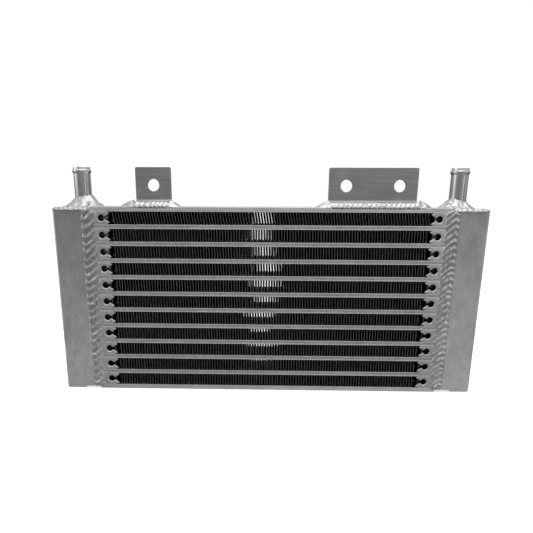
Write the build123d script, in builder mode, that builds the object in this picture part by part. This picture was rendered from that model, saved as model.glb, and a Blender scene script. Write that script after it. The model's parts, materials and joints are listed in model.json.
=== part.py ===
from build123d import *
import os

# Plate-and-bar hydraulic oil cooler, in millimetres.
# The origin is the centre of the footprint: +X along the core, +Y to the rear, +Z up.
# Rows and passages are numbered from the top.

# ---------------------------------------------------------------- driving dimensions
LENGTH = 410.0            # over both tanks
CORE_DEPTH = 36.0         # front face to rear face
CORE_LENGTH = 341.0       # between the two tank mouths

AIR_ROWS = 11
OIL_PASSAGES = AIR_ROWS - 1
AIR_HEIGHT = 12.0
OIL_HEIGHT = 2.4
SHEET = 0.8               # parting sheet
SIDE_PLATE = 3.6          # outer plate at the top and bottom of the core

FIN_LEGS = 114            # an even number
FIN_SPACING = 2.65        # from one fin leg to the next
FIN_GAUGE = 0.2
TURBULATOR_LEGS = 12      # an even number
TURBULATOR_SPACING = 2.0
TURBULATOR_GAUGE = 0.25
OIL_BAR_WIDTH = 6.0
OIL_BAR_RECESS = 0.4      # behind the edges of the sheets

BAR_BODY = 16.8           # closing bar, core end to the start of its lips
BAR_REACH = 19.5          # closing bar, core end to the tips of its lips
KEYHOLE_RADIUS = 2.7
KEYHOLE_CENTRE = 11.7     # from the core end
NECK_REACH = 15.3         # from the core end
NECK_HALF = 1.1
MOUTH_HALF = 4.1          # half the opening between the lip tips
LIP_TIP = 0.55            # thickness of a lip at its tip

TANK_TOP = 178.9
TANK_WALL = 3.0
TANK_CORNER = 2.0
CAP = 4.0
BEVEL_LENGTH = 14.0       # relief under the tank beside the seam
BEVEL_HEIGHT = 2.2

STUB_X = 179.2
STUB_RADIUS = 8.0
STUB_BORE = 6.5
STUB_TOP = 216.7
STUB_BELOW_CAP = 2.0
BEAD_RADIUS = 8.9         # rolled bead near the rim
BEAD_CREST = 1.2
BEAD_RAMP = 1.5
BEAD_TOP = 213.5
RIM_ROUND = 0.6

BRACKET_TOP = 217.0
BRACKET_GAUGE = 4.0
BRACKET_FRONT = -15.0     # front edge of the foot
BRACKET_FACE = 2.0        # front face of the upright
BRACKET_BEND = 3.0        # inner radius
BRACKET_CORNER = 1.5
BOLT_HOLE = 5.75          # radius, clearance for an M10 bolt
BOLT_Z = 200.5
LEFT_BRACKET_X = -111.6
LEFT_BRACKET_WIDTH = 34.0
RIGHT_BRACKET_X = 99.3
RIGHT_BRACKET_WIDTH = 84.5
BOLT_SPACING = 50.8

SEAM_X = 171.5            # centre line of the bead between a tank and the core
SEAM_WIDTH = 12.6
SEAM_RISE = 1.8
SEAM_ROOT_LENGTH = 9.0    # bead under the tank, inside the relief
SEAM_ROOT_RISE = 1.2
WELD_RADIUS = 21.0        # reach of the weld around a stub, from the stub's axis
INLET_WELD_RISE = 11.0
OUTLET_WELD_RISE = 9.0
WELD_HOLLOW_REACH = 0.35   # where the flare is hollowest, as shares of its reach and rise
WELD_HOLLOW_RISE = 0.4
BRACKET_WELD_FRONT = -17.7
BRACKET_WELD_OVERHANG = 9.0
BRACKET_WELD_SETBACK = 0.7   # the crown of the bead, behind its toe and below its edge
BRACKET_WELD_DROP = 1.2
HEEL_WELD_REACH = 4.5     # behind the upright
HEEL_WELD_RISE = 4.5
HEEL_WELD_OVERLAP = 1.0   # inside the bend

# ---------------------------------------------------------------- derived values
HALF_LENGTH = LENGTH / 2
HALF_CORE = CORE_LENGTH / 2
HALF_DEPTH = CORE_DEPTH / 2
PITCH = AIR_HEIGHT + OIL_HEIGHT + 2 * SHEET
CORE_HEIGHT = AIR_ROWS * PITCH - OIL_HEIGHT + 2 * SIDE_PLATE
SIDES = {"left": -1, "right": 1}


def air_middle(row):
    """Mid-height of an air row."""
    top_row = CORE_HEIGHT - SIDE_PLATE - SHEET - AIR_HEIGHT / 2
    return top_row - (row - 1) * PITCH


def oil_middle(passage):
    """Mid-height of the oil passage under the air row of the same number."""
    return air_middle(passage) - PITCH / 2


def wave_outline(spacing, legs, height, gauge):
    """Closed outline of a strip folded into a square wave, centred on the origin."""
    half = gauge / 2
    crest = height / 2
    inside = crest - gauge
    start = -spacing * (legs - 1) / 2
    near = []
    far = []
    for pair in range(legs // 2):
        rise = start + 2 * pair * spacing
        fall = rise + spacing
        near += [(rise - half, -inside), (rise - half, crest)]
        near += [(fall + half, crest), (fall + half, -inside)]
        far += [(rise + half, -crest), (rise + half, inside)]
        far += [(fall - half, inside), (fall - half, -crest)]
    near[0] = (near[0][0], -crest)
    near[-1] = (near[-1][0], -crest)
    return near + far[::-1]


def front_plane(height):
    """XZ plane through the middle of the depth, with its origin at a height."""
    return Plane(origin=(0, 0, height), x_dir=(1, 0, 0), z_dir=(0, -1, 0))


def side_plane(height):
    """YZ plane through the middle of the length, with its origin at a height."""
    return Plane(origin=(0, 0, height), x_dir=(0, 1, 0), z_dir=(1, 0, 0))


os.makedirs("parts", exist_ok=True)

# ---------------------------------------------------------------- core: air side

for row in range(1, AIR_ROWS + 1):
    with BuildPart() as air_fin:
        with BuildSketch(front_plane(air_middle(row))):
            Polygon(*wave_outline(FIN_SPACING, FIN_LEGS, AIR_HEIGHT, FIN_GAUGE), align=None)
        extrude(amount=HALF_DEPTH, both=True)
    air_fin.part.label = f"air_fin_{row:02d}"
    export_step(air_fin.part, f"parts/{air_fin.part.label}.step")

# The closing bars wall the air rows off from the tanks. Each nose is forked, with a
# keyhole slot behind the fork, and both bars of a row share a node.
for row in range(1, AIR_ROWS + 1):
    with BuildPart() as closing_bars:
        with BuildSketch(front_plane(air_middle(row))):
            for side in SIDES.values():
                lip_top = MOUTH_HALF + LIP_TIP
                nose = [(HALF_CORE, AIR_HEIGHT / 2), (HALF_CORE - BAR_BODY, AIR_HEIGHT / 2)]
                nose += [(HALF_CORE - BAR_REACH, lip_top), (HALF_CORE - BAR_REACH, MOUTH_HALF)]
                nose += [(HALF_CORE - NECK_REACH, NECK_HALF)]
                nose += [(HALF_CORE - KEYHOLE_CENTRE, NECK_HALF)]
                outline = nose + [(x, -z) for x, z in reversed(nose)]
                Polygon(*[(side * x, z) for x, z in outline], align=None)
                with Locations((side * (HALF_CORE - KEYHOLE_CENTRE), 0)):
                    Circle(KEYHOLE_RADIUS, mode=Mode.SUBTRACT)
        extrude(amount=HALF_DEPTH, both=True)
    closing_bars.part.label = f"air_closing_bars_{row:02d}"
    export_step(closing_bars.part, f"parts/{closing_bars.part.label}.step")

# ---------------------------------------------------------------- core: oil side

for passage in range(1, OIL_PASSAGES + 1):
    with BuildPart() as oil_bars:
        bar_y = HALF_DEPTH - OIL_BAR_RECESS - OIL_BAR_WIDTH / 2
        with BuildSketch(side_plane(oil_middle(passage))):
            with Locations((-bar_y, 0), (bar_y, 0)):
                Rectangle(OIL_BAR_WIDTH, OIL_HEIGHT)
        extrude(amount=HALF_CORE, both=True)
    oil_bars.part.label = f"oil_bars_{passage:02d}"
    export_step(oil_bars.part, f"parts/{oil_bars.part.label}.step")

for passage in range(1, OIL_PASSAGES + 1):
    with BuildPart() as turbulator:
        with BuildSketch(side_plane(oil_middle(passage))):
            wave = wave_outline(TURBULATOR_SPACING, TURBULATOR_LEGS, OIL_HEIGHT, TURBULATOR_GAUGE)
            Polygon(*wave, align=None)
        extrude(amount=HALF_CORE, both=True)
    turbulator.part.label = f"oil_turbulator_{passage:02d}"
    export_step(turbulator.part, f"parts/{turbulator.part.label}.step")

# ---------------------------------------------------------------- core: sheets and side plates

# A parting sheet lies above and below each air row.
with BuildPart() as parting_sheets:
    sheet_offset = (AIR_HEIGHT + SHEET) / 2
    for row in range(1, AIR_ROWS + 1):
        for level in (air_middle(row) - sheet_offset, air_middle(row) + sheet_offset):
            with Locations((0, 0, level)):
                Box(CORE_LENGTH, CORE_DEPTH, SHEET)
parting_sheets.part.label = "parting_sheets"
export_step(parting_sheets.part, "parts/parting_sheets.step")

with BuildPart() as bottom_side_plate:
    with BuildSketch(Plane.XY):
        Rectangle(CORE_LENGTH, CORE_DEPTH)
    extrude(amount=SIDE_PLATE)
bottom_side_plate.part.label = "bottom_side_plate"
export_step(bottom_side_plate.part, "parts/bottom_side_plate.step")

with BuildPart() as top_side_plate:
    with BuildSketch(Plane.XY.offset(CORE_HEIGHT - SIDE_PLATE)):
        Rectangle(CORE_LENGTH, CORE_DEPTH)
    extrude(amount=SIDE_PLATE)
top_side_plate.part.label = "top_side_plate"
export_step(top_side_plate.part, "parts/top_side_plate.step")

# ---------------------------------------------------------------- tanks and their caps


def relief(side):
    """Outline, in the XZ plane, of the shallow relief under a tank beside the seam."""
    near = HALF_CORE
    far = HALF_CORE + BEVEL_LENGTH
    outline = [(near, 0), (far + BEVEL_HEIGHT, 0), (far, BEVEL_HEIGHT), (near, BEVEL_HEIGHT)]
    return [(side * x, z) for x, z in outline]


for name, side in SIDES.items():
    with BuildPart() as tank:
        with BuildSketch(Plane.XY):
            with Locations((side * (HALF_CORE + HALF_LENGTH) / 2, 0)):
                Rectangle(HALF_LENGTH - HALF_CORE, CORE_DEPTH)
            with Locations((side * (HALF_CORE + HALF_LENGTH - TANK_WALL) / 2, 0)):
                inside_depth = CORE_DEPTH - 2 * TANK_WALL
                Rectangle(HALF_LENGTH - HALF_CORE - TANK_WALL, inside_depth, mode=Mode.SUBTRACT)
        extrude(amount=TANK_TOP)
        outer = tank.edges().filter_by(Axis.Z).sort_by(Axis.X)
        fillet(outer[-2:] if side > 0 else outer[:2], TANK_CORNER)
        low = tank.edges().group_by(Axis.Z)[0].sort_by(Axis.X)
        fillet(low[-1] if side > 0 else low[0], TANK_CORNER)
        with BuildSketch(Plane.XZ):
            Polygon(*relief(side), align=None)
        extrude(amount=CORE_DEPTH, both=True, mode=Mode.SUBTRACT)
    tank.part.label = f"{name}_tank"
    export_step(tank.part, f"parts/{tank.part.label}.step")


for name, side in SIDES.items():
    cap_length = HALF_LENGTH - HALF_CORE - TANK_WALL
    cap_width = CORE_DEPTH - 2 * TANK_WALL
    cap_x = side * (HALF_CORE + cap_length / 2)

    with BuildPart() as top_cap:
        with BuildSketch(Plane.XY.offset(TANK_TOP - CAP)):
            with Locations((cap_x, 0)):
                Rectangle(cap_length, cap_width)
            with Locations((side * STUB_X, 0)):
                Circle(STUB_RADIUS, mode=Mode.SUBTRACT)
        extrude(amount=CAP)
    top_cap.part.label = f"{name}_tank_top_cap"
    export_step(top_cap.part, f"parts/{top_cap.part.label}.step")

    with BuildPart() as bottom_cap:
        with BuildSketch(Plane.XY):
            with Locations((cap_x, 0)):
                Rectangle(cap_length, cap_width)
        extrude(amount=CAP)
        with BuildSketch(Plane.XZ):
            Polygon(*relief(side), align=None)
        extrude(amount=CORE_DEPTH, both=True, mode=Mode.SUBTRACT)
    bottom_cap.part.label = f"{name}_tank_bottom_cap"
    export_step(bottom_cap.part, f"parts/{bottom_cap.part.label}.step")

# ---------------------------------------------------------------- hose stubs
# Each stub is a tube that passes through the top cap, with a rolled bead near its rim.

STUBS = {"inlet": -1, "outlet": 1}

for name, side in STUBS.items():
    with BuildPart() as stub:
        stub_foot = TANK_TOP - CAP - STUB_BELOW_CAP
        bead_low = BEAD_TOP - BEAD_CREST
        with BuildSketch(Plane.XZ) as half_section:
            with BuildLine():
                Polyline(
                    (STUB_BORE, stub_foot),
                    (STUB_RADIUS, stub_foot),
                    (STUB_RADIUS, bead_low - BEAD_RAMP),
                    (BEAD_RADIUS, bead_low),
                    (BEAD_RADIUS, BEAD_TOP),
                    (STUB_RADIUS, BEAD_TOP + BEAD_RAMP),
                    (STUB_RADIUS, STUB_TOP),
                    (STUB_BORE, STUB_TOP),
                    close=True,
                )
            make_face()
            rim = half_section.vertices().group_by(Axis.Y)[-1]
            fillet(rim, RIM_ROUND)
        revolve(axis=Axis.Z)
    stub_piece = stub.part.moved(Location((side * STUB_X, 0, 0)))
    stub_piece.label = f"{name}_stub"
    export_step(stub_piece, f"parts/{stub_piece.label}.step")

# ---------------------------------------------------------------- mounting brackets
# Each bracket is a plate bent to an L. Its foot runs forward along the top of the core.


def bracket_section():
    """Outline of the bent plate in the YZ plane."""
    low = CORE_HEIGHT
    return [
        (BRACKET_FRONT, low),
        (BRACKET_FACE + BRACKET_GAUGE, low),
        (BRACKET_FACE + BRACKET_GAUGE, BRACKET_TOP),
        (BRACKET_FACE, BRACKET_TOP),
        (BRACKET_FACE, low + BRACKET_GAUGE),
        (BRACKET_FRONT, low + BRACKET_GAUGE),
    ]


BRACKETS = {
    "left": (LEFT_BRACKET_X, LEFT_BRACKET_WIDTH, [0.0]),
    "right": (RIGHT_BRACKET_X, RIGHT_BRACKET_WIDTH, [-BOLT_SPACING / 2, BOLT_SPACING / 2]),
}

brackets = []

for name, (middle, width, holes) in BRACKETS.items():
    with BuildPart() as bracket:
        with BuildSketch(Plane.YZ.offset(middle)) as section:
            Polygon(*bracket_section(), align=None)
            heel = section.vertices().group_by(Axis.Y)[0].sort_by(Axis.X)[-1]
            fillet(heel, BRACKET_BEND + BRACKET_GAUGE)
            root_corner = (BRACKET_FACE, CORE_HEIGHT + BRACKET_GAUGE)
            root = section.vertices().sort_by_distance(root_corner)[0]
            fillet(root, BRACKET_BEND)
        extrude(amount=width / 2, both=True)
        corners = bracket.edges().filter_by(Axis.Y).group_by(Axis.Z)[-1]
        fillet(corners, BRACKET_CORNER)
        with BuildSketch(Plane.XZ):
            with Locations(*[(middle + offset, BOLT_Z) for offset in holes]):
                Circle(BOLT_HOLE)
        extrude(amount=CORE_DEPTH, both=True, mode=Mode.SUBTRACT)
    bracket.part.label = f"{name}_bracket"
    export_step(bracket.part, f"parts/{bracket.part.label}.step")
    brackets.append(bracket.part)

# ---------------------------------------------------------------- welds

# The seam between a tank and the core has a bead on its front, its rear and its underside.
for name, side in SIDES.items():
    with BuildPart() as seam_weld:
        with BuildSketch(Plane.XY.offset(BEVEL_HEIGHT)):
            for face in (-1, 1):
                foot = face * HALF_DEPTH
                near = (side * SEAM_X - SEAM_WIDTH / 2, foot)
                crown = (side * SEAM_X, foot + face * SEAM_RISE)
                far = (side * SEAM_X + SEAM_WIDTH / 2, foot)
                with BuildLine():
                    ThreePointArc(near, crown, far)
                    Line(far, near)
                make_face()
        extrude(amount=TANK_TOP - BEVEL_HEIGHT)
        with BuildSketch(Plane.XZ):
            with BuildLine():
                Polyline(
                    (side * HALF_CORE, BEVEL_HEIGHT - SEAM_ROOT_RISE),
                    (side * HALF_CORE, BEVEL_HEIGHT),
                    (side * (HALF_CORE + SEAM_ROOT_LENGTH), BEVEL_HEIGHT),
                    close=True,
                )
            make_face()
        extrude(amount=HALF_DEPTH, both=True)
    seam_weld.part.label = f"{name}_seam_weld"
    export_step(seam_weld.part, f"parts/{seam_weld.part.label}.step")

# The weld around a stub flares out over the cap, onto the core and flush with the faces.
WELD_RISES = {"inlet": INLET_WELD_RISE, "outlet": OUTLET_WELD_RISE}

for name, rise in WELD_RISES.items():
    side = STUBS[name]
    with BuildPart() as stub_weld:
        flare = WELD_RADIUS - STUB_RADIUS
        with BuildSketch(Plane.XZ):
            with BuildLine():
                inner = (STUB_RADIUS, TANK_TOP)
                top = (STUB_RADIUS, TANK_TOP + rise)
                toe = (WELD_RADIUS, TANK_TOP)
                hollow_x = STUB_RADIUS + WELD_HOLLOW_REACH * flare
                hollow = (hollow_x, TANK_TOP + WELD_HOLLOW_RISE * rise)
                ThreePointArc(top, hollow, toe)
                Polyline(toe, inner, top)
            make_face()
        revolve(axis=Axis.Z)
        with BuildSketch(Plane.XY.offset(TANK_TOP)):
            Rectangle(2 * WELD_RADIUS, CORE_DEPTH)
        extrude(amount=rise, mode=Mode.INTERSECT)
        with BuildSketch(Plane.XZ):
            Polygon(
                (-side * (STUB_X - HALF_CORE), TANK_TOP),
                (-side * (STUB_X - HALF_CORE), CORE_HEIGHT),
                (-side * 2 * WELD_RADIUS, CORE_HEIGHT),
                (-side * 2 * WELD_RADIUS, TANK_TOP),
                align=None,
            )
        extrude(amount=CORE_DEPTH, both=True, mode=Mode.SUBTRACT)
    weld_piece = stub_weld.part.moved(Location((side * STUB_X, 0, 0)))
    weld_piece.label = f"{name}_stub_weld"
    export_step(weld_piece, f"parts/{weld_piece.label}.step")

# A bracket is welded along the front edge of its foot and along the heel of its bend.
with BuildPart() as bracket_welds:
    for middle, width, holes in BRACKETS.values():
        run = width / 2 + BRACKET_WELD_OVERHANG
        foot_top = CORE_HEIGHT + BRACKET_GAUGE
        heel_y = BRACKET_FACE + BRACKET_GAUGE + HEEL_WELD_REACH
        with BuildSketch(Plane.YZ.offset(middle)):
            with BuildLine():
                toe = (BRACKET_WELD_FRONT, CORE_HEIGHT)
                crown = (BRACKET_WELD_FRONT + BRACKET_WELD_SETBACK, foot_top - BRACKET_WELD_DROP)
                edge = (BRACKET_FRONT, foot_top)
                ThreePointArc(toe, crown, edge)
                Polyline(edge, (BRACKET_FRONT, CORE_HEIGHT), toe)
            make_face()
        extrude(amount=run, both=True)
        with BuildSketch(Plane.YZ.offset(middle)):
            Polygon(
                (heel_y, CORE_HEIGHT),
                (BRACKET_FACE + BRACKET_GAUGE - HEEL_WELD_OVERLAP, CORE_HEIGHT + HEEL_WELD_RISE),
                (BRACKET_FACE - BRACKET_BEND, CORE_HEIGHT),
                align=None,
            )
        extrude(amount=width / 2, both=True)
    for bracket_piece in brackets:
        add(bracket_piece, mode=Mode.SUBTRACT)
bracket_welds.part.label = "bracket_welds"
export_step(bracket_welds.part, "parts/bracket_welds.step")
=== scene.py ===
import json
import math
import random

import bmesh
import bpy
import numpy as np
from mathutils import Matrix, Vector, noise


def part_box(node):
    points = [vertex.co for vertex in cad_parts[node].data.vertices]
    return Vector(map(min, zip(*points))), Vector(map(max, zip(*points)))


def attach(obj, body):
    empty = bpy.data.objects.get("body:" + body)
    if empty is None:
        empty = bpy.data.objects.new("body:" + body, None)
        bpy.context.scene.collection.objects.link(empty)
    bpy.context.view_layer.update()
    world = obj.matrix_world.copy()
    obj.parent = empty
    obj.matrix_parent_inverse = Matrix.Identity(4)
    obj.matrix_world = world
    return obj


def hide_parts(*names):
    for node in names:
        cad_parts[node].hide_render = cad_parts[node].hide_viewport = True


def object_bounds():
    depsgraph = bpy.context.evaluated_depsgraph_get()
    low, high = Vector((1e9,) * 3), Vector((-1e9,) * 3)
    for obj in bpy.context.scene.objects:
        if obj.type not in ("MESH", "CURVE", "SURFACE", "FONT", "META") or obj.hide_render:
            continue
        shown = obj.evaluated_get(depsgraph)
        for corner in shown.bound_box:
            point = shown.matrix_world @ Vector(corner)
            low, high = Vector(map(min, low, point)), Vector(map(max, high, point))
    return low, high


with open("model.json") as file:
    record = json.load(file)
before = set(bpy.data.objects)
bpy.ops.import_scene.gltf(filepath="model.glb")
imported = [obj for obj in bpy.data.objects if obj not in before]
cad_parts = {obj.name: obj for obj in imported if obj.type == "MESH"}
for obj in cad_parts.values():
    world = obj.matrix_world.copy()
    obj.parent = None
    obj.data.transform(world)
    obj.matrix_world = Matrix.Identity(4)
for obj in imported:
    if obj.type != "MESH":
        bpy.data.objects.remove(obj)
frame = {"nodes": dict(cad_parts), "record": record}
cad_low, cad_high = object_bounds()
nodes = frame["nodes"]
MM = 0.001

# ------------------------------------------------------------------ camera
# The camera stands 11 mm above the top of the core and is pitched down. The lens shift
# puts the cooler in the middle of a taller picture, as the photographer's crop did.

SENSOR = 36.0
FOCAL_LENGTH = 36.4
SHIFT_X = 0.0375
SHIFT_Y = 0.157
CAMERA_DISTANCE = 520 * MM      # from the core's front face
CAMERA_X = -8.2 * MM
CAMERA_ABOVE_MIDDLE = 101.5 * MM
YAW = math.radians(-1.37)
PITCH = math.radians(16.08)
ROLL = math.radians(0.25)
NEAREST_SEEN = 0.01
FARTHEST_SEEN = 100.0


def make_camera():
    core_low, core_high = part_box("parting_sheets")
    middle = (core_low.z + core_high.z) / 2
    forward = Vector((math.sin(YAW) * math.cos(PITCH), math.cos(YAW) * math.cos(PITCH), -math.sin(PITCH)))
    level = Vector((math.cos(YAW), -math.sin(YAW), 0))
    above = level.cross(forward)
    right = math.cos(ROLL) * level + math.sin(ROLL) * above
    up = -math.sin(ROLL) * level + math.cos(ROLL) * above
    turn = Matrix((right, up, -forward)).transposed()

    data = bpy.data.cameras.new("camera")
    data.sensor_width = SENSOR
    data.lens = FOCAL_LENGTH
    data.shift_x = SHIFT_X
    data.shift_y = SHIFT_Y
    data.clip_start = NEAREST_SEEN
    data.clip_end = FARTHEST_SEEN
    camera = bpy.data.objects.new("camera", data)
    place = Vector((CAMERA_X, core_low.y - CAMERA_DISTANCE, middle + CAMERA_ABOVE_MIDDLE))
    camera.matrix_world = Matrix.Translation(place) @ turn.to_4x4()
    bpy.context.scene.collection.objects.link(camera)
    bpy.context.scene.camera = camera


# ------------------------------------------------------------------ studio
# The room is bright overhead, grey beside the cooler, and darker ahead of it, behind it and
# below it. So upright metal faces look grey, and welds and edges that face up look bright.
# The stops give the light along one direction, whose share runs from 0 to 1.

HORIZON_STOPS = (
    (0.0, (0.17, 0.17, 0.165)),     # straight ahead of the cooler
    (0.25, (0.22, 0.22, 0.215)),
    (0.42, (0.58, 0.58, 0.58)),
    (0.50, (0.58, 0.58, 0.58)),     # beside it
    (0.60, (0.34, 0.34, 0.34)),
    (0.74, (0.22, 0.22, 0.22)),
    (0.86, (0.20, 0.20, 0.20)),
    (1.0, (0.34, 0.34, 0.345)),     # behind it
)
ACROSS_STOPS = (
    (0.0, 0.90),                    # the window side
    (0.20, 0.62),
    (0.35, 0.58),
    (0.50, 0.70),
    (0.66, 0.95),
    (1.0, 0.50),
)
ACROSS_GAIN = 1.68
UPWARD_STOPS = (
    (0.0, 0.0),                     # straight down
    (0.50, 0.0),                    # level
    (0.54, 0.16),
    (0.62, 0.26),
    (0.80, 0.66),
    (1.0, 1.0),                     # straight up
)
DOWNWARD_STOPS = (
    (0.0, 1.0),                     # straight down
    (0.45, 0.85),
    (0.495, 0.0),                   # just under the level
)
GROUND_STOPS = (
    (0.0, (0.24, 0.24, 0.237)),     # below the level, ahead of the cooler
    (0.50, (0.24, 0.24, 0.237)),
    (0.80, (0.08, 0.08, 0.08)),
    (1.0, (0.06, 0.06, 0.06)),      # below the level, behind it
)
SKY = (0.90, 0.93, 0.98)
WHITE = (1.0, 1.0, 1.0)

# name, place, width and height in metres, power in watts, colour
LIGHTS = (
    ("overhead", (0.1, 0.0, 1.3), (1.6, 1.0), 4, (1.0, 0.99, 0.97)),
    ("left_window", (-1.5, -0.3, 0.7), (1.0, 0.9), 2.6, WHITE),
    ("right_strip", (1.2, -1.1, 0.35), (0.12, 0.9), 0.5, WHITE),
)

FLOOR_SIDE = 6.0
FLOOR_SHADE = (0.9, 0.9, 0.9)
FLOOR_ROUGHNESS = 0.9
FLOOR_GLOW = 0.55


def greys(stops):
    """Stops that hold plain shares of white, as colours."""
    return tuple((at, (share,) * 3) for at, share in stops)


def world_ramp(tree, value, stops):
    ramp = tree.nodes.new("ShaderNodeValToRGB")
    ramp.color_ramp.elements[0].position = stops[0][0]
    ramp.color_ramp.elements[0].color = (*stops[0][1], 1)
    ramp.color_ramp.elements[1].position = stops[-1][0]
    ramp.color_ramp.elements[1].color = (*stops[-1][1], 1)
    for position, colour in stops[1:-1]:
        ramp.color_ramp.elements.new(position).color = (*colour, 1)
    tree.links.new(value, ramp.inputs["Fac"])
    return ramp.outputs["Color"]


def world_share(tree, value):
    """Maps a direction's component, -1 to 1, to a share from 0 to 1."""
    step = tree.nodes.new("ShaderNodeMapRange")
    step.inputs["From Min"].default_value = -1.0
    step.inputs["From Max"].default_value = 1.0
    tree.links.new(value, step.inputs["Value"])
    return step.outputs[0]


def world_mix(tree, factor, first, second):
    """Mixes two colours. Each may be a socket or a plain colour."""
    mix = tree.nodes.new("ShaderNodeMix")
    mix.data_type = "RGBA"
    tree.links.new(factor, mix.inputs["Factor"])
    for name, colour in (("A", first), ("B", second)):
        if isinstance(colour, tuple):
            mix.inputs[name].default_value = (*colour, 1)
        else:
            tree.links.new(colour, mix.inputs[name])
    return mix.outputs["Result"]


def studio_world():
    """The room's light. It is plain white where the camera sees it directly."""
    world = bpy.data.worlds.new("studio")
    bpy.context.scene.world = world
    world.use_nodes = True
    tree = world.node_tree
    tree.nodes.clear()
    place = tree.nodes.new("ShaderNodeTexCoord")
    split = tree.nodes.new("ShaderNodeSeparateXYZ")
    tree.links.new(place.outputs["Generated"], split.inputs[0])
    height = world_share(tree, split.outputs["Z"])
    horizon = world_ramp(tree, world_share(tree, split.outputs["Y"]), HORIZON_STOPS)
    upward = world_ramp(tree, height, greys(UPWARD_STOPS))
    downward = world_ramp(tree, height, greys(DOWNWARD_STOPS))
    ground = world_ramp(tree, world_share(tree, split.outputs["Y"]), GROUND_STOPS)
    light = world_mix(tree, downward, horizon, ground)
    across = world_ramp(tree, world_share(tree, split.outputs["X"]), greys(ACROSS_STOPS))
    shade = tree.nodes.new("ShaderNodeVectorMath")
    shade.operation = "MULTIPLY"
    tree.links.new(light, shade.inputs[0])
    tree.links.new(across, shade.inputs[1])
    gain = tree.nodes.new("ShaderNodeVectorMath")
    gain.operation = "SCALE"
    gain.inputs["Scale"].default_value = ACROSS_GAIN
    tree.links.new(shade.outputs[0], gain.inputs[0])
    light = world_mix(tree, upward, gain.outputs[0], SKY)
    shown = tree.nodes.new("ShaderNodeLightPath")
    light = world_mix(tree, shown.outputs["Is Camera Ray"], light, WHITE)
    background = tree.nodes.new("ShaderNodeBackground")
    output = tree.nodes.new("ShaderNodeOutputWorld")
    tree.links.new(light, background.inputs["Color"])
    tree.links.new(background.outputs[0], output.inputs["Surface"])


def area_light(name, place, aim, size, power, colour):
    data = bpy.data.lights.new(name, "AREA")
    data.shape = "RECTANGLE"
    data.size = size[0]
    data.size_y = size[1]
    data.energy = power
    data.color = colour
    light = bpy.data.objects.new(name, data)
    light.location = place
    light.rotation_euler = (Vector(aim) - Vector(place)).to_track_quat("-Z", "Y").to_euler()
    bpy.context.scene.collection.objects.link(light)


def make_floor():
    """A white floor. The cooler doesn't mirror it, because the room's own light stands for it."""
    mesh = bpy.data.meshes.new("floor")
    side = FLOOR_SIDE
    corners = [(-side, -side, 0), (side, -side, 0), (side, side, 0), (-side, side, 0)]
    mesh.from_pydata(corners, [], [(0, 1, 2, 3)])
    ground = bpy.data.objects.new("floor", mesh)
    ground.visible_glossy = False
    ground.visible_diffuse = False
    bpy.context.scene.collection.objects.link(ground)
    paint = bpy.data.materials.new("pale_floor")
    paint.use_nodes = True
    shader = paint.node_tree.nodes["Principled BSDF"]
    shader.inputs["Base Color"].default_value = (*FLOOR_SHADE, 1)
    shader.inputs["Roughness"].default_value = FLOOR_ROUGHNESS
    shader.inputs["Specular IOR Level"].default_value = 0.0
    shader.inputs["Emission Color"].default_value = (*WHITE, 1)
    shader.inputs["Emission Strength"].default_value = FLOOR_GLOW
    mesh.materials.append(paint)


def make_studio():
    studio_world()
    middle = (cad_low + cad_high) / 2
    for name, place, size, power, colour in LIGHTS:
        area_light(name, place, middle, size, power, colour)
    make_floor()
    scene = bpy.context.scene
    scene.view_settings.view_transform = "Standard"
    scene.view_settings.look = "None"


# ------------------------------------------------------------------ materials
# Sizes are metres.

FACING = 0.6                    # a surface faces the front or rear when its frontness is over this
SHADE_FULL_TILT = -0.30                # how far down a weld's surface leans where its painted shade is full
SHADE_END_TILT = 0.10                  # and how far up it leans where the painted shade ends


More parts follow.
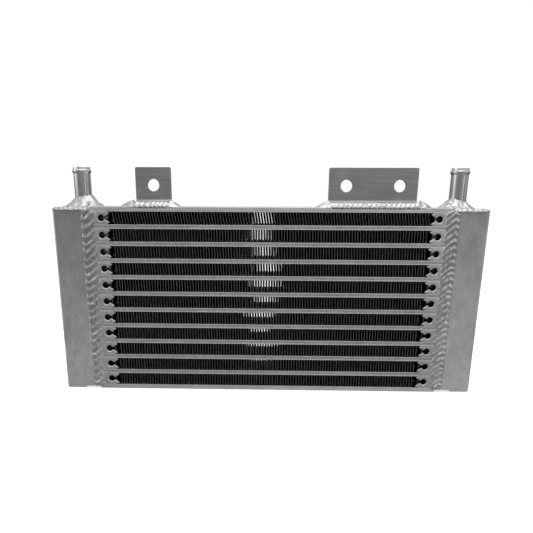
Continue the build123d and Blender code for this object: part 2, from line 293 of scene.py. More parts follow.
class Paint:
    """A node material built step by step around one Principled shader."""

    def __init__(self, name, colour, roughness, metallic=1.0):
        self.material = bpy.data.materials.new(name)
        self.material.use_nodes = True
        self.tree = self.material.node_tree
        self.shader = self.tree.nodes["Principled BSDF"]
        self.shader.inputs["Metallic"].default_value = metallic
        self.shader.inputs["Roughness"].default_value = roughness
        self.colour = colour
        self.place = self.tree.nodes.new("ShaderNodeTexCoord").outputs["Object"]
        self.split = None
        self.base = None

    def axis(self, name):
        """One coordinate of the point, in metres in the row's frame."""
        if self.split is None:
            self.split = self.tree.nodes.new("ShaderNodeSeparateXYZ")
            self.tree.links.new(self.place, self.split.inputs[0])
        return self.split.outputs[name]

    def noise(self, stretch, detail=3.0, rough=0.55):
        """Noise whose cells have these sizes, in metres, along X, Y and Z."""
        mapping = self.tree.nodes.new("ShaderNodeMapping")
        mapping.inputs["Scale"].default_value = [1 / size for size in stretch]
        cloud = self.tree.nodes.new("ShaderNodeTexNoise")
        cloud.inputs["Scale"].default_value = 1.0
        cloud.inputs["Detail"].default_value = detail
        cloud.inputs["Roughness"].default_value = rough
        self.tree.links.new(self.place, mapping.inputs["Vector"])
        self.tree.links.new(mapping.outputs[0], cloud.inputs["Vector"])
        return cloud.outputs["Fac"]

    def spread(self, value, low, high, start=0.3, stop=0.7):
        """Maps a value between start and stop to the range low to high."""
        step = self.tree.nodes.new("ShaderNodeMapRange")
        step.inputs["From Min"].default_value = start
        step.inputs["From Max"].default_value = stop
        step.inputs["To Min"].default_value = low
        step.inputs["To Max"].default_value = high
        self.tree.links.new(value, step.inputs["Value"])
        return step.outputs[0]

    def sum_up(self, operation, first, second):
        """One math step on two values. The second may be a plain number."""
        step = self.tree.nodes.new("ShaderNodeMath")
        step.operation = operation
        self.tree.links.new(first, step.inputs[0])
        if isinstance(second, (int, float)):
            step.inputs[1].default_value = second
        else:
            self.tree.links.new(second, step.inputs[1])
        return step.outputs[0]

    def times(self, first, second):
        return self.sum_up("MULTIPLY", first, second)

    def tint(self, value):
        """Base colour: the paint's own colour, made lighter and darker by a value."""
        scale = self.tree.nodes.new("ShaderNodeVectorMath")
        scale.operation = "SCALE"
        scale.inputs[0].default_value = self.colour
        self.tree.links.new(value, scale.inputs["Scale"])
        self.base = scale.outputs[0]
        self.tree.links.new(self.base, self.shader.inputs["Base Color"])

    def stain(self, mask, colour):
        """Mixes another colour into the base colour where the mask is 1."""
        mix = self.tree.nodes.new("ShaderNodeMix")
        mix.data_type = "RGBA"
        mix.inputs["B"].default_value = (*colour, 1)
        self.tree.links.new(mask, mix.inputs["Factor"])
        self.tree.links.new(self.base, mix.inputs["A"])
        self.base = mix.outputs["Result"]
        self.tree.links.new(self.base, self.shader.inputs["Base Color"])

    def rough(self, value):
        self.tree.links.new(value, self.shader.inputs["Roughness"])

    def metal(self, value):
        self.tree.links.new(value, self.shader.inputs["Metallic"])

    def emboss(self, value, depth):
        """Relief of this depth, in metres."""
        node = self.tree.nodes.new("ShaderNodeBump")
        node.inputs["Strength"].default_value = 1.0
        node.inputs["Distance"].default_value = depth
        self.tree.links.new(value, node.inputs["Height"])
        self.tree.links.new(node.outputs[0], self.shader.inputs["Normal"])

    def facing(self, kind, name):
        """One component of the direction that the surface faces."""
        geometry = self.tree.nodes.new("ShaderNodeNewGeometry")
        split = self.tree.nodes.new("ShaderNodeSeparateXYZ")
        self.tree.links.new(geometry.outputs[kind], split.inputs[0])
        return split.outputs[name]

    def frontness(self):
        """How squarely a surface faces the front or the rear: 1 on the core's faces, 0 inside it."""
        deep = self.facing("True Normal", "Y")
        return self.sum_up("POWER", self.times(deep, deep), 0.5)

    def underside_shade(self):
        """1 on surfaces that lean downwards, where a weld gets painted shade."""
        return self.spread(self.facing("Normal", "Z"), 1.0, 0.0, SHADE_FULL_TILT, SHADE_END_TILT)

    def passage(self, bare_lip):
        """1 on surfaces inside the air passages, where shade is painted, apart from a bare lip at the front
        and rear.
        """
        inward = self.sum_up("LESS_THAN", self.frontness(), FACING)
        deep = self.sum_up("ABSOLUTE", self.axis("Y"), 0.0)
        inside = self.sum_up("LESS_THAN", deep, core_depth / 2 - bare_lip)
        return self.times(inward, inside)


FINE = 0.0003
LONG = 0.02
DRAWN_UP = (FINE, FINE, LONG)
DRAWN_ACROSS = (LONG, FINE, FINE)
CLOUD = (0.03, 0.03, 0.03)
BROAD_CONTRAST = 0.09
CLOUD_CONTRAST = 0.10
ROUGHNESS_SPREAD = 0.06

# the fins' own black coating, also used as black painted shade inside the air passages
FIN_BLACK_AND_PASSAGE_SHADE = (0.007, 0.007, 0.008)
# grey of bare fin edges, made light enough to serve as a painted highlight
FIN_EDGE_METAL_AND_HIGHLIGHT = (0.52, 0.52, 0.53)
SHEET_LIP = 0.0005
BAR_LIP = 0.0013
# painted shade on the tanks: darker towards the top
TANK_TOP_SHADE = (0.27, 0.263, 0.25)
TANK_SHADE_SHARE = 0.90
TANK_SHADE_SHARE_RIGHT = 0.82         # the right tank's painted shade is weaker, by this factor
TANK_SHADE_BOTTOM = 0.02              # no painted shade below this height, and the full shade above the next
TANK_SHADE_TOP = 0.20
TANK_MIDDLE = 0.19
# painted shade on the seams: darker towards the top
SEAM_TOP_SHADE = (0.36, 0.355, 0.345)
SEAM_SHADE_BOTTOM = 0.03
SEAM_SHADE_TOP = 0.14
SEAM_SOOT = (0.26, 0.255, 0.25)
# painted shade for the seams' downward-leaning surfaces
SEAM_UNDERSIDE_SHADE = (0.10, 0.098, 0.096)
WELD_SOOT = (0.30, 0.29, 0.28)
# painted shade for the small welds' downward-leaning surfaces
WELD_UNDERSIDE_SHADE = (0.12, 0.118, 0.115)


def brushed(name, colour, roughness, grain, wide, contrast=0.12, depth=0.00003):
    """Aluminium with a grain. Grain and wide are cell sizes for the fine and the broad streaks."""
    paint = Paint(name, colour, roughness)
    fine = paint.noise(grain)
    broad = paint.noise(wide, detail=2.0)
    cloud = paint.noise(CLOUD, detail=4.0)
    streaks = paint.spread(broad, 1 - BROAD_CONTRAST, 1 + BROAD_CONTRAST)
    shade = paint.times(paint.spread(fine, 1 - contrast, 1 + contrast), streaks)
    paint.tint(paint.times(shade, paint.spread(cloud, 1 - CLOUD_CONTRAST, 1 + CLOUD_CONTRAST)))
    paint.rough(paint.spread(fine, roughness - ROUGHNESS_SPREAD, roughness + ROUGHNESS_SPREAD))
    paint.emboss(fine, depth)
    return paint


def tank_paint():
    """Brushed sheet with painted shade, darker towards the top and weaker on the right tank, in uneven
    patches.
    """
    paint = brushed("brushed_tank", (0.86, 0.86, 0.855), 0.45, DRAWN_UP, (0.005, 0.005, 0.009), 0.15)
    # painted shade: darker with height, less on the right tank
    tank_top_shade = paint.spread(paint.axis("Z"), 0.0, TANK_SHADE_SHARE, TANK_SHADE_BOTTOM, TANK_SHADE_TOP)
    side = paint.spread(paint.axis("X"), 1.0, TANK_SHADE_SHARE_RIGHT, -TANK_MIDDLE, TANK_MIDDLE)
    tank_top_shade = paint.times(tank_top_shade, side)
    patches = paint.noise((0.012, 0.012, 0.02), detail=4.0)
    paint.stain(paint.times(tank_top_shade, paint.spread(patches, 0.75, 1.0)), TANK_TOP_SHADE)
    return paint.material


def passage_shaded(name, colour, roughness, grain, wide, contrast, bare_lip):
    """Bare aluminium on the front and rear, with black painted shade inside the air passages."""
    paint = brushed(name, colour, roughness, grain, wide, contrast)
    passage_shade = paint.passage(bare_lip)
    # painted shade: black on the surfaces inside the air passages
    paint.stain(passage_shade, FIN_BLACK_AND_PASSAGE_SHADE)
    paint.metal(paint.spread(passage_shade, 1.0, 0.0, 0.0, 1.0))
    return paint.material


def fin_coat():
    """Black coating, thinner on the cut edges, where grey metal shows through; that grey also serves as a
    painted highlight on the edges.
    """
    paint = Paint("black_fin", FIN_BLACK_AND_PASSAGE_SHADE, 0.6, metallic=0.0)
    paint.shader.inputs["Specular IOR Level"].default_value = 0.12
    dust = paint.noise((0.004, 0.002, 0.004))
    paint.tint(paint.spread(dust, 0.7, 1.4))
    wear = paint.noise((0.003, 0.01, 0.006))
    edge = paint.spread(paint.frontness(), 0.0, 1.0, FACING, 0.9)
    # painted highlight with bare metal: grey on the front- and rear-facing cut edges, broken up by wear
    # noise
    paint.stain(paint.times(edge, paint.spread(wear, 0.55, 1.0)), FIN_EDGE_METAL_AND_HIGHLIGHT)
    paint.rough(paint.spread(dust, 0.55, 0.75))
    return paint.material


def weld_metal():
    paint = brushed("bright_weld", (0.61, 0.61, 0.598), 0.26, (0.0014,) * 3, (0.004,) * 3, 0.07, 0.000025)
    soot = paint.noise((0.003, 0.003, 0.006), detail=4.0)
    paint.stain(paint.spread(soot, 0.0, 0.7, 0.50, 0.72), WELD_SOOT)
    # painted shade on the downward-leaning parts of the bead
    paint.stain(paint.times(paint.underside_shade(), 0.6), WELD_UNDERSIDE_SHADE)
    return paint.material


def seam_metal():
    """The long seams are duller than the small welds, because the furnace-dulled bars melt into them."""
    paint = brushed("dull_seam", (0.85, 0.85, 0.84), 0.28, (0.0012,) * 3, (0.004,) * 3, 0.12, 0.00006)
    soot = paint.noise((0.002, 0.002, 0.006), detail=4.0)
    # painted shade: the seams get darker towards the top
    height = paint.spread(paint.axis("Z"), 0.0, 0.5, SEAM_SHADE_BOTTOM, SEAM_SHADE_TOP)
    paint.stain(height, SEAM_TOP_SHADE)
    paint.stain(paint.spread(soot, 0.0, 0.5, 0.50, 0.68), SEAM_SOOT)
    # painted shade on the downward-leaning parts of the seams
    paint.stain(paint.times(paint.underside_shade(), 0.28), SEAM_UNDERSIDE_SHADE)
    return paint.material


# ------------------------------------------------------------------ mesh tools

SHARP = math.radians(40)
MERGE = 1e-7


def solid(name, parts, paint, slot, *stands_for):
    """One object from several (points, faces) pairs, in metres. It rides on the root body."""
    mesh = bpy.data.meshes.new(name)
    points = []
    faces = []
    for part_points, part_faces in parts:
        first = len(points)
        points.extend(part_points)
        faces.extend([tuple(first + corner for corner in face) for face in part_faces])
    mesh.from_pydata(points, [], faces)
    work = bmesh.new()
    work.from_mesh(mesh)
    bmesh.ops.remove_doubles(work, verts=work.verts, dist=MERGE)
    bmesh.ops.recalc_face_normals(work, faces=work.faces)
    work.to_mesh(mesh)
    work.free()
    mesh.polygons.foreach_set("use_smooth", [True] * len(mesh.polygons))
    mesh.set_sharp_from_angle(angle=SHARP)
    mesh.materials.append(paint)
    piece = bpy.data.objects.new(name, mesh)
    bpy.context.scene.collection.objects.link(piece)
    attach(piece, "root")
    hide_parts(*stands_for)


def loft(loops, wrap=False):
    """Skin over a row of closed loops of points. It closes on itself, or gets a flat cap at each end."""
    count = len(loops[0])
    points = [point for loop in loops for point in loop]
    faces = []
    spans = len(loops) if wrap else len(loops) - 1
    for span in range(spans):
        here = span * count
        there = (span + 1) % len(loops) * count
        for corner in range(count):
            beside = (corner + 1) % count
            faces.append((here + corner, here + beside, there + beside, there + corner))
    if not wrap:
        last = len(points) - count
        faces.append(tuple(reversed(range(count))))
        faces.append(tuple(range(last, last + count)))
    return points, faces


def ripple_noise(x, y, z, seed):
    """Smooth noise between about -1 and 1, different for each seed."""
    return noise.noise(Vector((x + 7.13 * seed, y + 3.7 * seed, z + 1.9 * seed)))


# ------------------------------------------------------------------ air fins

# How far each row's legs lean, in degrees, from the top row down.
FIN_LEANS = (-8.5, -1.7, -2.2, -3.6, -1.7, -1.7, -1.4, -1.2, -1.0, -0.8, -0.5)
FIN_LEGS = 114
FIN_GAUGE = 0.2 * MM
FIN_BEND = 0.45 * MM
FIN_SWING = 0.98 * MM           # how far a leg waves sideways on its way through the core
FIN_WAVELENGTH = 16 * MM
FIN_SLICES = 10
FIN_RECESS = 0.5 * MM
FIN_OVERRUN = 0.6 * MM          # how far the legs reach past the plain fin of the frame
FIN_END_FLARE = 3.0 * MM        # the end legs are pressed outwards against the closing bars
FIN_JITTER = 0.10 * MM


def fin_line(low, high, lean, dice):
    """Centre line, in the XZ plane, of a strip folded to and fro between two parting sheets."""
    first = low.x - FIN_OVERRUN
    spacing = (high.x + FIN_OVERRUN - first) / (FIN_LEGS - 1)
    bottom = low.z + FIN_GAUGE / 2
    top = high.z - FIN_GAUGE / 2
    tilt = math.tan(lean) * (top - bottom) / 2
    line = []
    for leg in range(FIN_LEGS):
        x = first + leg * spacing
        if leg == 0:
            x -= FIN_END_FLARE
        if leg == FIN_LEGS - 1:
            x += FIN_END_FLARE
        slant = tilt if 0 < leg < FIN_LEGS - 1 else 0.0
        x_low = x - slant + dice.uniform(-FIN_JITTER, FIN_JITTER)
        x_high = x + slant + dice.uniform(-FIN_JITTER, FIN_JITTER)
        side = -1 if leg % 2 == 0 else 1
        foot = [(x_low + side * FIN_BEND, bottom), (x_low, bottom + FIN_BEND)]
        head = [(x_high, top - FIN_BEND), (x_high - side * FIN_BEND, top)]
        rise = foot + head
        line += rise if leg % 2 == 0 else rise[::-1]
    return np.array(line)


def air_fin(row, paint):
    """One folded fin. Its strip is a closed sheet with real thickness, wavy along the air's path."""
    node = f"air_fin_{row:02d}"
    low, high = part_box(node)
    dice = random.Random(row)
    line = fin_line(low, high, math.radians(FIN_LEANS[row - 1]), dice)
    run = np.gradient(line, axis=0)
    normal = np.stack([-run[:, 1], run[:, 0]], axis=1)
    normal /= np.linalg.norm(normal, axis=1, keepdims=True)
    phase = dice.uniform(0, math.tau)
    depths = np.linspace(low.y + FIN_RECESS, high.y - FIN_RECESS, FIN_SLICES + 1)
    points = []
    for side in (0.5, -0.5):
        edge = line + normal * FIN_GAUGE * side
        heights = np.clip(edge[:, 1], low.z, high.z)
        for depth in depths:
            swing = FIN_SWING * math.sin(math.tau * depth / FIN_WAVELENGTH + phase)
            points += [(x + swing, depth, z) for x, z in zip(edge[:, 0], heights)]
    count = len(line)
    back = len(depths) * count
    last = back - count
    faces = []
    for start in range(0, last, count):
        for step in range(start, start + count - 1):
            faces.append((step, step + 1, step + 1 + count, step + count))
            far = back + step
            faces.append((far, far + count, far + count + 1, far + 1))
        end = start + count - 1
        faces.append((start, start + count, back + start + count, back + start))
        faces.append((end, back + end, back + end + count, end + count))
    for step in range(count - 1):
        faces.append((step, back + step, back + step + 1, step + 1))
        far = last + step
        faces.append((far, far + 1, back + far + 1, back + far))
    solid(f"wavy_fin_{row:02d}", [(points, faces)], paint, "black_fin", node)


# ------------------------------------------------------------------ closing bars
# Sizes are millimetres. Lengths are measured from the core's end, as in the frame.

BAR_BODY = 16.8
BAR_REACH = 19.5
LIP_INSIDE = 4.1
LIP_OUTSIDE = 4.65
KEYHOLE_CENTRE = 11.7
KEYHOLE_RADIUS = 2.95
KEYHOLE_STEPS = 14
NECK_REACH = 15.3
NECK_HALF = 1.3
NECK_TIP = 14.8
OUTLINE_STEP = 0.7
BAR_ROUND = 1.1                 # soft edge around the fork and the keyhole
LIP_ROUND = 0.18                # it narrows to this at the lips
LIP_ROUND_GROWTH = 0.45
TIP_ROUND = 0.35                # and to this at the neck's corners
TIP_ROUND_GROWTH = 0.6
BAR_BUTT_ROUND = 0.12           # slight edge where the bar meets the sheets and the tank
ROUND_STEPS = 3
TOUCHING = 0.01
RAGGED = 0.22                   # braze metal makes the fork's edge uneven
RAGGED_GRAIN = 1.1


def fork_outline(half):
    """Upper half of a closing bar's outline: distance from the core's end, and height from mid-row."""
    corners = [(0.0, half), (BAR_BODY, half), (BAR_REACH, LIP_OUTSIDE), (BAR_REACH, LIP_INSIDE)]
    corners.append((NECK_REACH, NECK_HALF))
    opening = math.asin(NECK_HALF / KEYHOLE_RADIUS)
    outline = []
    for (u0, w0), (u1, w1) in zip(corners, corners[1:]):
        pieces = max(1, round(math.hypot(u1 - u0, w1 - w0) / OUTLINE_STEP))
        outline += [(u0 + (u1 - u0) * k / pieces, w0 + (w1 - w0) * k / pieces) for k in range(pieces)]
    outline.append(corners[-1])
    for step in range(KEYHOLE_STEPS + 1):
        angle = opening + (math.pi - opening) * step / KEYHOLE_STEPS
        outline.append((KEYHOLE_CENTRE + KEYHOLE_RADIUS * math.cos(angle), KEYHOLE_RADIUS * math.sin(angle)))
    return outline


def closing_bar(low, high, side, seed):
    """One closing bar with rounded, slightly ragged edges around its fork and keyhole."""
    half = (high.z - low.z) / 2
    middle = (high.z + low.z) / 2
    upper = fork_outline(half)
    outline = upper + [(u, -w) for u, w in reversed(upper[:-1])]
    inset = []
    uneven = []
    for index, (u, w) in enumerate(outline):
        before = Vector(outline[index - 1])
        after = Vector(outline[(index + 1) % len(outline)])
        run = (after - before).normalized()
        inward = Vector((run.y, -run.x))
        butt = abs(w) > half - TOUCHING or u < TOUCHING
        lip = LIP_ROUND + LIP_ROUND_GROWTH * max(0.0, BAR_REACH - u)
        tip = TIP_ROUND + TIP_ROUND_GROWTH * math.hypot(u - NECK_TIP, abs(w) - NECK_HALF)
        width = BAR_BUTT_ROUND if butt else min(BAR_ROUND, lip, tip)
        shift = 0.0 if butt else RAGGED * ripple_noise(u * RAGGED_GRAIN, w * RAGGED_GRAIN, side, seed)
        uneven.append(Vector((u, w)) + inward * shift)
        inset.append(inward * width)
    loops = []
    for face in (-1, 1):
        for step in range(ROUND_STEPS + 1):
            angle = math.pi / 2 * (step if face < 0 else ROUND_STEPS - step) / ROUND_STEPS
            loop = []
            for spot, step_in in zip(uneven, inset):
                width = step_in.length
                flat = spot + step_in * (1 - math.sin(angle))
                y = face * (high.y - width * (1 - math.cos(angle)))
                loop.append((side * (high.x - flat.x) * MM, y * MM, (middle + flat.y) * MM))
            loops.append(loop)
    return loft(loops)


def closing_bars(row, paint):
    node = f"air_closing_bars_{row:02d}"
    low, high = (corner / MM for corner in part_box(node))
    parts = [closing_bar(low, high, side, 3 * row) for side in (-1, 1)]
    solid(f"brazed_bars_{row:02d}", parts, paint, "closing_bar", node)


# ------------------------------------------------------------------ weld beads
# Sizes are millimetres in the row's frame.

SHORTEST_SCALE = 0.8            # shares of the pitch, because the scales of a bead vary in length
LONGEST_SCALE = 1.2
SWING_VARIES = 0.45             # how much stronger and weaker the ripples get along a bead
SWING_LENGTH = 11
CLIMB_SHARE = 0.56              # each scale rises over the first share of its length
FALL_SHARE = 0.44               # and falls over the second
CLIMB_BEND = 1.15
CHEVRON_BEND = 1.3
BEAD_END = 0.15
BEAD_EDGE_SUNK = 0.3
END_WIDTH = 0.4                 # share of its width that a bead keeps at its very end
WIDTH_TAPERS = 0.6
RIDGE_LEVEL = 0.35
FOLD_SHARE = 0.4
FOLD_GRAIN = 9
HEAP_DIP = 0.1                  # the deepest that the lumps of a heap dip under its floor
HEAP_SUNK = 0.4


def bead(start, stop, out, half_width, rise, pitch, chevron=0.0, skew=0.0, ripple=0.35, lumps=0.15,
         ends=3.0, seed=0, step=0.6, across=20):
    """A weld bead whose scales overlap like coins.

    Chevron is how far the middle of each scale trails its edges, and skew moves its tip sideways.
    """
    start = Vector(start)
    length = (Vector(stop) - start).length
    along = (Vector(stop) - start) / length
    out = Vector(out).normalized()
    beside = along.cross(out).normalized()
    dice = random.Random(seed)
    marks = [-2.0 * pitch]
    while marks[-1] < length + 3 * pitch:
        marks.append(marks[-1] + pitch * dice.uniform(SHORTEST_SCALE, LONGEST_SCALE))
    marks = np.array(marks)
    stations = int(length / step) + 1
    loops = []
    for station in range(stations + 1):
        s = length * station / stations
        taper = min(1.0, max(s, BEAD_END) / ends, max(length - s, BEAD_END) / ends) ** 0.5
        edge_wave = 1 + 0.08 * ripple_noise(s / 5, 0, 0, seed) + 0.04 * ripple_noise(s / 1.7, 3, 0, seed)
        swing = 1 + SWING_VARIES * ripple_noise(s / SWING_LENGTH, 7, 0, seed)
        loop = []
        for column in range(across + 1):
            v = 2 * column / across - 1
            lag = abs(v - skew) / (1 + abs(skew))
            place = s + chevron * (1 - lag ** CHEVRON_BEND)
            scale = int(np.searchsorted(marks, place)) - 1
            phase = (place - marks[scale]) / (marks[scale + 1] - marks[scale])
            dome = max(0.0, 1 - abs(v) ** 2.2) ** 0.7
            climb = phase / CLIMB_SHARE if phase < CLIMB_SHARE else (1 - phase) / FALL_SHARE
            coin = ripple * swing * (climb ** CLIMB_BEND - 0.5) * max(0.0, 1 - v * v) ** 0.4
            lump = lumps * ripple_noise(s / 4, 2 * v, 1, seed) * dome
            height = max(0.0, (rise * dome + coin + lump) * taper)
            bulge = 1 + 0.05 * math.sin(math.pi * phase)
            width = half_width * v * edge_wave * bulge * (END_WIDTH + WIDTH_TAPERS * taper)
            sunk = BEAD_EDGE_SUNK if abs(v) == 1 else 0.0
            loop.append(tuple((start + along * s + beside * width + out * (height - sunk)) * MM))
        loops.append(loop)
    return loft(loops)


def heap(centre, reach, rise, floor, hole=0.0, fall=2.0, toe=0.5, lumps=0.5, grain=4.0, seed=0,
         rings=18, sectors=84):
    """A lumpy fillet of weld metal that falls away from its middle.

    Reach and rise give the radius of the toe and the height of the crown for each angle, and
    floor gives the height of what lies underneath at an X.
    """
    loops = []
    for sector in range(sectors):
        angle = math.tau * sector / sectors
        across = math.cos(angle)
        deep = math.sin(angle)
        far = reach(angle)
        loop = []
        for ring in range(rings + 1):
            t = ring / rings
            radius = hole + (far - hole) * t
            x = centre[0] + across * radius
            y = centre[1] + deep * radius
            ridge = RIDGE_LEVEL - abs(ripple_noise(x / grain, y / grain, 0, seed))
            fold = ripple_noise(3.2 * angle / math.tau * 6, radius / FOLD_GRAIN, 2, seed)
            rough = lumps * (ridge + FOLD_SHARE * fold) * min(1.0, 5 * (1 - t))
            slope = (1 - t) ** fall
            z = floor(x) + toe * (1 - t ** 6) + rise(angle) * slope + rough
            loop.append((x * MM, y * MM, max(z, floor(x) - HEAP_DIP) * MM))
        for radius in (far, hole):
            x = centre[0] + across * radius
            y = centre[1] + deep * radius
            loop.append((x * MM, y * MM, (floor(x) - HEAP_SUNK) * MM))
        loops.append(loop)
    return loft(loops, wrap=True)


# ------------------------------------------------------------------ seams

SEAM_X = 171.5
SEAM_HALF_WIDTH = 6.3
SEAM_RISE = 0.95
SEAM_FOOT = 1.2                 # the beads end this far above the seam's lowest point
SEAM_STEP = 0.5
ROOT_OFFSET = 3.5
ROOT_INSET = 0.5
ROOT_HALF_WIDTH = 4.0
ROOT_RISE = 0.8
ROOT_PITCH = 5.0


def seam_bead(name, side, pitch, chevron, skew, seed, paint):
    """The seam between a tank and the core: a bead down the front and the rear, joined underneath."""
    node = f"{name}_seam_weld"
    low, high = (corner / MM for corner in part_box(node))
    middle = side * SEAM_X
    bottom = low.z + SEAM_FOOT
    parts = []
    for face, trail in ((-1, chevron), (1, -chevron)):
        y = face * core_depth / 2 / MM
        start = (middle, y, bottom)
        stop = (middle, y, high.z)
        parts.append(bead(start, stop, (0, face, 0), SEAM_HALF_WIDTH, SEAM_RISE, pitch, chevron=trail,
                          skew=-face * skew, ripple=0.8, lumps=0.4, seed=seed + face, step=SEAM_STEP))
    root_x = side * (abs(middle) + ROOT_OFFSET)
    edge = core_depth / 2 / MM - ROOT_INSET
    parts.append(bead((root_x, -edge, bottom), (root_x, edge, bottom), (0, 0, -1), ROOT_HALF_WIDTH,
                      ROOT_RISE, ROOT_PITCH, ripple=0.2, seed=seed + 5))
    solid(f"{name}_seam_bead", parts, paint, "weld_bead", node)


# ------------------------------------------------------------------ welds around the hose stubs

STUB_BEAD_RISE = 0.9            # how far the rolled bead stands out of its tube
CAP_STEP_HALF = 2.0             # half the length of the slope from the tank's cap up to the core
CAP_INSET = 0.4
CAP_BEAD_INSET = 0.5
CAP_BEAD_START = 1.0            # from the core's end
CAP_BEAD_PITCH = 4.8
CAP_END_INSET = 1.6
CAP_END_SHORT = 1.5
CAP_END_PITCH = 4.2
TUBE_OVERLAP = 0.2              # the fillet reaches this far into the tube's wall
CORNER_OFFSET = 0.5
CORNER_INSET = 3.2
CORNER_REACH = 5.2
CORNER_PINCH = 1.9
CORNER_RISE = 1.9


def stub_weld(node, stub, rise, toes, seed, paint):
    """The fillet around a hose stub, and the beads along the edges of the cap that it stands on."""
    stub_low, stub_high = (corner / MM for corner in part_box(stub))
    centre = (stub_low + stub_high) / 2
    side = math.copysign(1, centre.x)
    radius = (stub_high.x - stub_low.x) / 2 - STUB_BEAD_RISE
    tank_low, tank_high = (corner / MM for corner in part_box(f"{'right' if side > 0 else 'left'}_tank"))
    core_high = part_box("top_side_plate")[1] / MM
    depth = core_high.y - CAP_INSET

    def floor(x):
        share = min(1.0, max(0.0, (core_high.x + CAP_STEP_HALF - abs(x)) / (2 * CAP_STEP_HALF)))
        return tank_high.z + (core_high.z - tank_high.z) * share * share * (3 - 2 * share)

    def reach(angle):
        across = math.cos(angle)
        deep = abs(math.sin(angle))
        length = abs(toes[0] - centre.x) if across < 0 else abs(toes[1] - centre.x)
        oval = 1 / math.hypot(across / length, deep / (depth + 4))
        limit = depth / max(deep, 1e-6)
        return min(oval, limit)

    def crown(angle):
        inward = -side * math.cos(angle)
        uneven = ripple_noise(math.cos(angle) * 2, math.sin(angle) * 2, 5, seed)
        return rise * (1 + 0.14 * inward + 0.08 * uneven)

    def corner_reach(angle):
        return CORNER_REACH - CORNER_PINCH * abs(math.sin(angle))

    parts = [heap((centre.x, 0), reach, crown, floor, hole=radius - TUBE_OVERLAP, fall=1.9, lumps=1.9,
                  grain=6.5, seed=seed)]
    near = side * (core_high.x + CAP_BEAD_START)
    far = side * (tank_high.x - CAP_END_INSET if side > 0 else -tank_low.x - CAP_END_INSET)
    level = tank_high.z
    for face in (-1, 1):
        y = face * (depth - CAP_BEAD_INSET)
        parts.append(bead((near, y, level), (far, y, level), (0, face * 0.7, 1), 2.4, 0.8, CAP_BEAD_PITCH,
                          ripple=0.45, lumps=0.6, seed=seed + 10 + face, across=12))
    start = (far, -depth + CAP_END_SHORT, level)
    stop = (far, depth - CAP_END_SHORT, level)
    parts.append(bead(start, stop, (side * 0.3, 0, 1), 1.8, 0.6, CAP_END_PITCH, ripple=0.3, lumps=0.35,
                      seed=seed + 20, across=12))
    # where the seam, the cap and the core meet
    corner = (side * (core_high.x + CORNER_OFFSET), -depth + CORNER_INSET)
    parts.append(heap(corner, corner_reach, lambda angle: CORNER_RISE, floor, fall=0.8, lumps=0.5,
                      seed=seed + 30, rings=8, sectors=36))
    solid(node.replace("_weld", "_fillet"), parts, paint, "weld_bead", node)


# ------------------------------------------------------------------ bracket welds

FOOT_BEAD_Y = -16.3
FOOT_BEAD_LIFT = 1.7
FOOT_BEAD_OVERRUN = 1.5
FOOT_BEAD_FACING = (0, -0.80, 0.60)
HEEL_BEAD_GAP = 0.6
HEEL_BEAD_LIFT = 1.6
HEEL_BEAD_INSET = 1
HEEL_BEAD_FACING = (0, 0.75, 0.66)
BRACKET_PITCH = 4.5
MOUND_OFFSET = 0.4
MOUND_DEPTH = 9.2               # from a mound's middle to its front and rear toes
MOUND_OUTSIDE = {-1: 12.5, 1: 11.0}
MOUND_INSIDE = 3.4
MOUND_RISE = 5.8


def bracket_weld(name, seed):
    """Beads along the front edge and the heel of a bracket, with a mound around each end of its foot."""
    low, high = (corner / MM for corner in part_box(f"{name}_bracket"))
    start = (low.x - FOOT_BEAD_OVERRUN, FOOT_BEAD_Y, low.z + FOOT_BEAD_LIFT)
    stop = (high.x + FOOT_BEAD_OVERRUN, FOOT_BEAD_Y, low.z + FOOT_BEAD_LIFT)
    parts = [bead(start, stop, FOOT_BEAD_FACING, 3.4, 1.1, BRACKET_PITCH, chevron=2.6, skew=0.3,
                  ripple=0.55, lumps=0.3, ends=5.0, seed=seed, step=0.45, across=16)]
    start = (low.x + HEEL_BEAD_INSET, high.y + HEEL_BEAD_GAP, low.z + HEEL_BEAD_LIFT)
    stop = (high.x - HEEL_BEAD_INSET, high.y + HEEL_BEAD_GAP, low.z + HEEL_BEAD_LIFT)
    parts.append(bead(start, stop, HEEL_BEAD_FACING, 3.2, 1.0, BRACKET_PITCH, chevron=2.0, ripple=0.45,
                      lumps=0.3, seed=seed + 3, across=14))
    for end, side in ((low.x, -1), (high.x, 1)):
        def reach(angle, side=side):
            length = MOUND_OUTSIDE[side] if math.cos(angle) * side > 0 else MOUND_INSIDE
            return 1 / math.hypot(math.cos(angle) / length, math.sin(angle) / MOUND_DEPTH)

        parts.append(heap((end + side * MOUND_OFFSET, -MOUND_DEPTH), reach, lambda angle: MOUND_RISE,
                          lambda x: low.z, fall=0.95, toe=0.5, lumps=1.0, grain=3.4,
                          seed=seed + 7 + side, rings=14, sectors=60))
    return parts


# ------------------------------------------------------------------ hose stubs

STUB_BEAD_DROP = 3.8            # from the rim down to the middle of the rolled bead
STUB_BEAD_HALF = 2.1
STUB_BEAD_STEPS = 12
STUB_SUPPORT = 0.3              # keeps the shading of the plain tube straight beside its ends
STUB_WALL = 1.5
STUB_SECTORS = 72
RIM_ROUND = 0.7
RIM_STEPS = 6
RIM_BREAK = 0.4


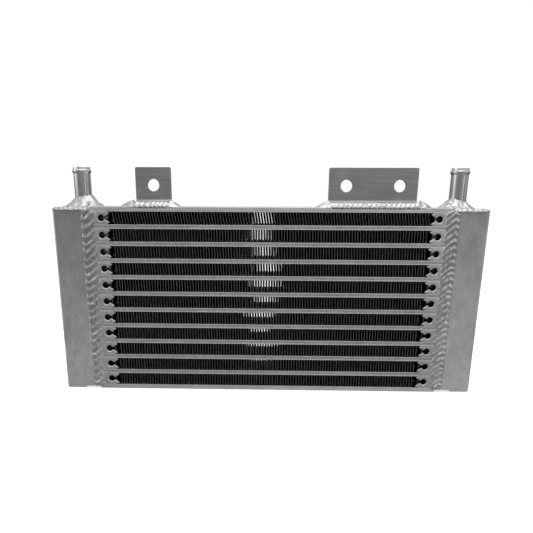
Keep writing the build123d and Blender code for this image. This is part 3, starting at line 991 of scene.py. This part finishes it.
def stub_tube(name, paint):
    """A hose stub: a plain tube with a rolled bead just under its rounded rim."""
    low, high = (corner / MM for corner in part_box(name))
    middle = (low.x + high.x) / 2
    radius = (high.x - low.x) / 2 - STUB_BEAD_RISE
    bore = radius - STUB_WALL
    bead_z = high.z - STUB_BEAD_DROP
    bead_half = STUB_BEAD_HALF
    profile = [(bore, low.z), (radius, low.z), (radius, low.z + STUB_SUPPORT)]
    profile += [(radius, bead_z - bead_half - STUB_SUPPORT), (radius, bead_z - bead_half)]
    for step in range(1, STUB_BEAD_STEPS):
        share = step / STUB_BEAD_STEPS
        swell = STUB_BEAD_RISE * math.sin(math.pi * share) ** 1.3
        profile.append((radius + swell, bead_z - bead_half + 2 * bead_half * share))
    profile.append((radius, bead_z + bead_half))
    for step in range(RIM_STEPS + 1):
        angle = math.pi / 2 * step / RIM_STEPS
        r = radius - RIM_ROUND + RIM_ROUND * math.cos(angle)
        profile.append((r, high.z - RIM_ROUND + RIM_ROUND * math.sin(angle)))
    profile += [(bore + RIM_BREAK, high.z), (bore, high.z - RIM_BREAK)]
    loops = []
    for sector in range(STUB_SECTORS):
        angle = math.tau * sector / STUB_SECTORS
        across = math.cos(angle)
        deep = math.sin(angle)
        loops.append([((middle + r * across) * MM, r * deep * MM, z * MM) for r, z in profile])
    solid(f"{name}_tube", [loft(loops, wrap=True)], paint, "stub_tube", name)


# ------------------------------------------------------------------ making

SOFT_MERGE = 1e-6
SOFT_ANGLE = math.radians(35)


def soften(node, width, segments=2):
    """Rounds the edges of a CAD node by a width in millimetres."""
    piece = nodes[node]
    weld = piece.modifiers.new("weld", "WELD")
    weld.merge_threshold = SOFT_MERGE
    bevel = piece.modifiers.new("soft_edges", "BEVEL")
    bevel.width = width * MM
    bevel.segments = segments
    bevel.limit_method = "ANGLE"
    bevel.angle_limit = SOFT_ANGLE
    bevel.harden_normals = True


core_box_low, core_box_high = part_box("parting_sheets")
core_depth = core_box_high.y - core_box_low.y

make_camera()
make_studio()

tank_metal = tank_paint()
# The bars and sheets get black painted shade inside the air passages.
bar_metal = passage_shaded("furnace_dulled_bar", (0.72, 0.715, 0.70), 0.42, (0.0008,) * 3, (0.003,) * 3,
                   0.22, BAR_LIP)
sheet_metal = passage_shaded("cut_sheet_edge", (0.97, 0.97, 0.95), 0.42, (0.002, FINE, FINE),
                     (0.02, 0.002, 0.002), 0.16, SHEET_LIP)
# The oil bars are darker than the closing bars: painted shade, deepening the shadow of their recess between
# the sheets.
recess_shaded_oil_metal = brushed("sawn_oil_bar_painted_shade", (0.60, 0.60, 0.58), 0.5, (0.003, 0.0008, 0.0008),
                    (0.012, 0.002, 0.002), 0.28).material
plate_metal = brushed("mill_plate", (0.90, 0.905, 0.91), 0.4, DRAWN_ACROSS, (0.03, 0.003, 0.002)).material
bracket_metal = brushed("bracket_sheet", (0.45, 0.45, 0.435), 0.42, DRAWN_ACROSS,
                        (0.05, 0.002, 0.002), 0.16).material
tube_metal = brushed("drawn_tube", (0.64, 0.64, 0.63), 0.22, DRAWN_UP, (0.002, 0.002, 0.05),
                     0.035, 0.000001).material
weld_paint = weld_metal()
seam_paint = seam_metal()
fin_paint = fin_coat()

SLOT_PAINTS = {
    "black_fin": fin_paint,
    "closing_bar": bar_metal,
    "oil_bar": recess_shaded_oil_metal,
    "turbulator": sheet_metal,
    "parting_sheet": sheet_metal,
    "side_plate": plate_metal,
    "tank_sheet": tank_metal,
    "tank_cap": plate_metal,
    "stub_tube": tube_metal,
    "bracket_plate": bracket_metal,
    "weld_bead": weld_paint,
}


def paint_frame():
    for part in frame["record"]["subparts"]:
        piece = nodes[part["node"]]
        piece.data.materials.clear()
        piece.data.materials.append(SLOT_PAINTS[part["material_slot"]])


paint_frame()
for row in range(1, len(FIN_LEANS) + 1):
    air_fin(row, fin_paint)
    closing_bars(row, bar_metal)
for name in ("left", "right"):
    soften(f"{name}_tank", 0.6, 3)
    soften(f"{name}_bracket", 0.5, 3)
soften("top_side_plate", 1.1, 3)
soften("bottom_side_plate", 0.4)
soften("parting_sheets", 0.2)
seam_bead("left", -1, 7.2, 8.0, -0.5, 11, seam_paint)
seam_bead("right", 1, 5.8, -8.0, 0.45, 23, seam_paint)
stub_tube("inlet_stub", tube_metal)
stub_tube("outlet_stub", tube_metal)
stub_weld("inlet_stub_weld", "inlet_stub", 10.5, (-202.5, -160.0), 41, weld_paint)
stub_weld("outlet_stub_weld", "outlet_stub", 8.5, (162.0, 199.5), 57, weld_paint)
bracket_parts = bracket_weld("left", 71) + bracket_weld("right", 83)
solid("bracket_beads", bracket_parts, weld_paint, "weld_bead", "bracket_welds")
